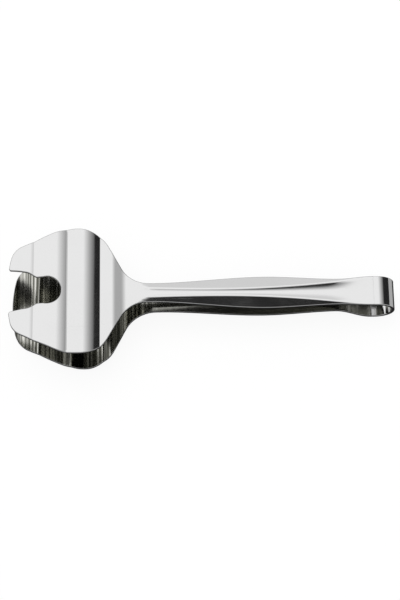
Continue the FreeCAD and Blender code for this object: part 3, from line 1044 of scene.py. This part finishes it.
    def crease_nodes(
        self, maker: TreeMaker, size: bpy.types.NodeOutputs, x: bpy.types.NodeSocket, crease: object,
        before: bpy.types.NodeSocket, after: object, number: int,
    ) -> tuple[bpy.types.NodeSocket, bpy.types.NodeSocket]:
        """Add the nodes that round one crease.

        Args:
            maker: the tree's maker.
            size: the tree's named inputs.
            x: the socket of the place along the arm.
            crease: the socket of the crease's place.
            before: steepness of the lobe before the crease, above the run that it is pressed on.
            after: steepness of the lobe after it, in the same way.
            number: the crease's number.

        Returns:
            The sockets of the height and the slope to add.
        """
        lift = maker.math("SUBTRACT", size[f"Slope {number + 1}"], size[f"Slope {number}"])
        turn = maker.math("ADD", lift, maker.math("ADD", before, after))
        distance = maker.math("SUBTRACT", x, crease)
        half = maker.math("MULTIPLY", size["Crease Round"], 0.5)
        reach = maker.math("MAXIMUM", maker.math("SUBTRACT", half, maker.math("ABSOLUTE", distance)), 0.0)
        share = maker.math("DIVIDE", maker.math("MULTIPLY", turn, reach), size["Crease Round"])
        height = maker.math("MULTIPLY", maker.math("MULTIPLY", share, reach), 0.5)
        back = maker.math("MULTIPLY", maker.math("SIGN", distance), -1.0)
        return height, maker.math("MULTIPLY", share, back)

    def press_sizes(self) -> dict[str, float]:
        """Return the values of the press tree's inputs."""
        form = self.jaw
        sizes = {"Tip": form.setback, "First Lobe": form.first_lobe, "Lobe Pitch": form.lobe_pitch,
                 "Crease Round": form.crease_round}
        sizes.update({f"Rise {number + 1}": rise for number, rise in enumerate(form.rises)})
        heights = self.fold_heights()
        lengths = [form.first_lobe] + [form.lobe_pitch] * (len(form.rises) - 1)
        slopes = [(after - start) / length for start, after, length in zip(heights, heights[1:], lengths)]
        slopes.append(form.shoulder_rise / form.shoulder_crest)
        sizes.update({f"Slope {number + 1}": slope for number, slope in enumerate(slopes)})
        return sizes

    def build(self, finish: bpy.types.Material) -> bpy.types.Object:
        """Return the finished arm in its place."""
        blank = self.blank()
        x = blank.plan[:, 0]
        y = blank.plan[:, 1]
        z = self.height(x, y) - blank.depth
        mesh = bpy.data.meshes.new(self.name + "_formed")
        mesh.from_pydata(np.stack([x, y, z], axis=1).tolist(), [], blank.faces)
        mesh = run_tree(mesh, self.press_tree(), self.press_sizes(), finish)
        pressed = np.zeros(len(x), np.float32)
        mesh.attributes["press_slope"].data.foreach_get("value", pressed)
        mesh.attributes.remove(mesh.attributes["press_slope"])
        normals = self.normals(blank, pressed)
        rim = mesh.attributes.new("rim", "FLOAT", "POINT")
        rim.data.foreach_set("value", np.sin(blank.roll).astype(np.float32) > 0.3)
        inner = mesh.attributes.new("inner", "FLOAT", "POINT")
        inner.data.foreach_set("value", np.cos(blank.roll).astype(np.float32) < -0.5)
        if self.side is Side.LOWER:
            mesh.transform(Matrix.Scale(-1.0, 4, (0.0, 0.0, 1.0)))
            mesh.flip_normals()
            normals[:, 2] *= -1.0
        to_row = self.bend.to_row()
        mesh.transform(to_row)
        turn = np.array(to_row.to_3x3().normalized())
        normals = normals @ turn.T
        mesh.shade_smooth()
        mesh.normals_split_custom_set_from_vertices(normals.tolist())
        mesh.name = self.name
        piece = bpy.data.objects.new(self.name, mesh)
        bpy.context.scene.collection.objects.link(piece)
        return piece

    def normals(self, blank: Blank, pressed: np.ndarray) -> np.ndarray:
        """Return the exact normal at each vertex.

        Args:
            blank: the flat blank.
            pressed: slope that the press added at each vertex.
        """
        x = blank.plan[:, 0]
        y = blank.plan[:, 1]
        step = self.probe
        slope_x = (self.height(x + step, y) - self.height(x - step, y)) / (2.0 * step)
        near_neck = np.abs(x - self.neck) < 2.0 * step
        slope_x = np.where(near_neck, -math.tan(math.radians(self.handle.flare)), slope_x)
        for crease in self.jaw.crease_x:
            at_crease = np.abs(x - crease) < 2.0 * step
            beside = (self.height(x + 4.0 * step, y) - self.height(x - 4.0 * step, y)) / (8.0 * step)
            slope_x = np.where(at_crease, beside, slope_x)
        slope_x = slope_x + pressed
        slope_y = (self.height(x, y + step) - self.height(x, y - step)) / (2.0 * step)
        face = np.stack([-slope_x, -slope_y, np.ones(len(x))], axis=1)
        face /= np.linalg.norm(face, axis=1)[:, None]
        out_x = blank.outward[:, 0]
        out_y = blank.outward[:, 1]
        away = np.stack([out_x, out_y, out_x * slope_x + out_y * slope_y], axis=1)
        away /= np.maximum(np.linalg.norm(away, axis=1), 1e-9)[:, None]
        roll = blank.roll[:, None]
        return np.cos(roll) * face + np.sin(roll) * away


# --- the studio ------------------------------------------------------------------------------------

@dataclass
class Studio:
    """The floor, the light and the camera."""

    bend: Bend
    floor_size: float = 6.0
    floor_colour: tuple[float, float, float] = (0.9, 0.9, 0.9)
    floor_glow: float = 0.9   # share of the floor that shows as plain white to the camera
    dome_light: float = 0.9   # level of the light from all round on rough surfaces
    lamp_power: float = 6.0
    lamp_size: float = 1.0
    lamp_place: tuple[float, float, float] = (-0.3, 0.4, 1.2)
    shadow_margin: float = 0.011  # of the painted shadow, a dark patch that metal sees on the floor round the tongs
    shadow_fade: float = 0.006
    shadow_dark: float = 0.03
    floor_level: float = 0.47  # of the floor beyond it, as metal sees it
    flag_level: float = 0.03   # levels of the dome, as metal sees it
    front_level: float = 0.7
    end_level: float = 0.65
    darkest: float = 0.02
    azimuth: float = -0.93    # of the camera, in the working frame
    elevation: float = 70.0
    roll: float = 0.05
    distance: float = 0.838
    lens: float = 107.3
    target: tuple[float, float, float] = (89.1, -0.45, 0.0)

    def build(self) -> None:
        """Make everything round the tongs."""
        self.make_floor()
        self.make_dome()
        self.make_lamp()
        self.make_camera()
        scene = bpy.context.scene
        scene.view_settings.view_transform = "Standard"

    def background_rays(self, maker: TreeMaker, rays: tuple[Ray, ...]) -> bpy.types.NodeSocket:
        """Return a mask that is 1 for the given kinds of ray."""
        light_path = maker.node("ShaderNodeLightPath")
        total = light_path.outputs[rays[0].value]
        for ray in rays[1:]:
            total = maker.math("MAXIMUM", total, light_path.outputs[ray.value])
        return total

    def make_floor(self) -> None:
        """Make the plain pale floor, which shows metal a painted shadow round the tongs."""
        material = bpy.data.materials.new("floor_paint")
        material.use_nodes = True
        material.node_tree.nodes.clear()
        maker = TreeMaker(material.node_tree)
        paint = maker.node("ShaderNodeBsdfDiffuse", {"Color": (*self.floor_colour, 1.0)})
        glow = maker.node("ShaderNodeEmission", {"Color": (1.0, 1.0, 1.0, 1.0), "Strength": 1.0})
        seen = self.background_rays(maker, (Ray.CAMERA,))
        share = maker.math("MULTIPLY", seen, self.floor_glow)
        mix = maker.node("ShaderNodeMixShader", {0: share, 1: paint.outputs[0], 2: glow.outputs[0]})
        # painted shadow: to glossy rays the floor glows dark round the tongs and light grey further off
        mirrored = maker.node(
            "ShaderNodeEmission", {"Color": (1.0, 1.0, 1.0, 1.0), "Strength": self.floor_in_metal_with_shadow(maker)})
        glossy = self.background_rays(maker, (Ray.GLOSSY,))
        whole = maker.node("ShaderNodeMixShader", {0: glossy, 1: mix.outputs[0], 2: mirrored.outputs[0]})
        maker.node("ShaderNodeOutputMaterial", {"Surface": whole.outputs[0]})
        half = self.floor_size / 2.0
        mesh = bpy.data.meshes.new("floor")
        mesh.from_pydata([(-half, -half, 0.0), (half, -half, 0.0), (half, half, 0.0), (-half, half, 0.0)], [],
                         [(0, 1, 2, 3)])
        mesh.materials.append(material)
        floor = bpy.data.objects.new("floor", mesh)
        bpy.context.scene.collection.objects.link(floor)
        floor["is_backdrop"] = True

    def floor_in_metal_with_shadow(self, maker: TreeMaker) -> bpy.types.NodeSocket:
        """Return what the floor shows in metal: a painted shadow, dark round the tongs, and light grey further off."""
        low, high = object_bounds()
        place = maker.node("ShaderNodeTexCoord").outputs["Object"]
        parts = maker.node("ShaderNodeSeparateXYZ", {0: place})
        outside = 0.0
        for axis, name in enumerate("XY"):
            middle = (low[axis] + high[axis]) / 2.0
            half = (high[axis] - low[axis]) / 2.0 + self.shadow_margin
            away = maker.math("ABSOLUTE", maker.math("SUBTRACT", parts.outputs[name], middle))
            outside = maker.math("MAXIMUM", outside, maker.ramp(away, half, half + self.shadow_fade))
        # painted shadow near the tongs, plain light grey beyond it
        return maker.math("MULTIPLY_ADD", outside, self.floor_level - self.shadow_dark, self.shadow_dark)

    def make_dome(self) -> None:
        """Make the world: white to the camera, plain on rough surfaces, in metal a softbox between dark flags.

        Metal sees the softbox above and behind the tongs, with a flag at its bow end, and paler light low in
        front and beyond both ends.
        """
        world = bpy.data.worlds.new("studio")
        bpy.context.scene.world = world
        world.use_nodes = True
        world.node_tree.nodes.clear()
        maker = TreeMaker(world.node_tree)
        way = maker.node("ShaderNodeTexCoord").outputs["Generated"]
        parts = maker.node("ShaderNodeSeparateXYZ", {0: way})
        x = parts.outputs["X"]
        y = parts.outputs["Y"]
        over = maker.math(
            "MULTIPLY", maker.ramp(y, 0.13, 0.29, kind="LINEAR"), maker.ramp(y, 0.42, 0.56, 1.0, 0.76))
        fall = maker.ramp(x, 0.25, 0.74, 1.0, self.flag_level, "LINEAR")
        fall = maker.math("MULTIPLY", fall, maker.ramp(x, 0.66, 0.72, 1.0, 0.0))
        front = maker.ramp(y, -0.45, -0.28, self.front_level, self.darkest)
        wide = maker.ramp(maker.math("ABSOLUTE", x), 0.38, 0.55, 0.0, self.end_level)
        ends = maker.math("MULTIPLY", wide, maker.ramp(y, 0.0, 0.14, 1.0, 0.0))
        box = maker.math("MAXIMUM", maker.math("MAXIMUM", maker.math("MULTIPLY", over, fall), front), ends)
        glossy = self.background_rays(maker, (Ray.GLOSSY,))
        seen = self.background_rays(maker, (Ray.CAMERA, Ray.TRANSMISSION))
        shown = maker.math("ADD", maker.math("MULTIPLY", glossy, box), seen)
        other = maker.math("SUBTRACT", 1.0, maker.math("MAXIMUM", glossy, seen))
        level = maker.math("ADD", shown, maker.math("MULTIPLY", other, self.dome_light))
        back = maker.node("ShaderNodeBackground", {"Color": (1.0, 1.0, 1.0, 1.0), "Strength": level})
        maker.node("ShaderNodeOutputWorld", {"Surface": back.outputs[0]})

    def make_lamp(self) -> None:
        """Make the soft lamp over the tongs."""
        lamp = bpy.data.lights.new("softbox", "AREA")
        lamp.shape = "DISK"
        lamp.size = self.lamp_size
        lamp.energy = self.lamp_power
        holder = bpy.data.objects.new("softbox", lamp)
        holder.location = self.lamp_place
        holder.rotation_euler = Vector(holder.location).to_track_quat("Z", "Y").to_euler()
        holder.visible_glossy = False
        bpy.context.scene.collection.objects.link(holder)

    def make_camera(self) -> None:
        """Make the camera, which is placed in the working frame, and aim it at the tongs."""
        azimuth = math.radians(self.azimuth)
        elevation = math.radians(self.elevation)
        away = Vector((
            math.sin(azimuth) * math.cos(elevation), -math.cos(azimuth) * math.cos(elevation), math.sin(elevation)))
        data = bpy.data.cameras.new("camera")
        data.lens = self.lens
        data.sensor_width = 36.0
        data.clip_start = 0.01
        camera = bpy.data.objects.new("camera", data)
        turn = away.to_track_quat("Z", "Y").to_matrix().to_4x4() @ Matrix.Rotation(math.radians(self.roll), 4, "Z")
        to_row = self.bend.to_row()
        lean = to_row.to_3x3().normalized()
        place = to_row @ Vector(self.target) + lean @ away * self.distance
        camera.matrix_world = Matrix.Translation(place) @ lean.to_4x4() @ turn
        bpy.context.scene.collection.objects.link(camera)
        bpy.context.scene.camera = camera


# --- putting it together ---------------------------------------------------------------------------

@dataclass
class Tongs:
    """The whole pair of tongs."""

    bend: Bend = field(default_factory=Bend)
    blend_run: float = 0.015  # length over which an arm would take up the bow's bending, in metres

    def arms(self) -> list[ArmStrip]:
        """Return the upper and the lower arm."""
        return [
            ArmStrip("upper_arm_strip", Side.UPPER, self.bend, HandleForm(8.05, 1.5), JawForm(0.0, True)),
            ArmStrip("lower_arm_strip", Side.LOWER, self.bend, HandleForm(2.6, 2.05),
                     JawForm(0.6, False, reach=1.5, tip_corner_half=18.3, tip_corner_radius=12.5, neck_corner_radius=19.0)),
        ]

    def build(self) -> None:
        """Make the bow and the arms, dress them, and tie the bow to its body."""
        makers = PolishGroups()
        groups = {
            "grain": makers.grain(), "scratches": makers.scratches(), "drawn": makers.drawn(), "rim_wear_and_shade": makers.rim_wear_and_shade()}
        steel = SteelFinish("mirror_steel").make(groups)
        bow = SpringBow(self.bend).build(steel)
        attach(bow, "bow")
        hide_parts("spring_bow")
        log.info("bow_strip: %d faces", len(bow.data.polygons))
        nodes = {Side.UPPER: ("upper_handle", "notched_jaw"), Side.LOWER: ("lower_handle", "plain_jaw")}
        for arm in self.arms():
            piece = arm.build(steel)
            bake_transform(piece)
            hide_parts(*nodes[arm.side])
            log.info("%s: %d faces", arm.name, len(piece.data.polygons))


def main() -> None:
    """Build the tongs and the studio in order."""
    logging.basicConfig(level=logging.INFO, format="%(message)s")
    tongs = Tongs()
    tongs.build()
    Studio(tongs.bend).build()


if __name__ == "__main__":
    main()
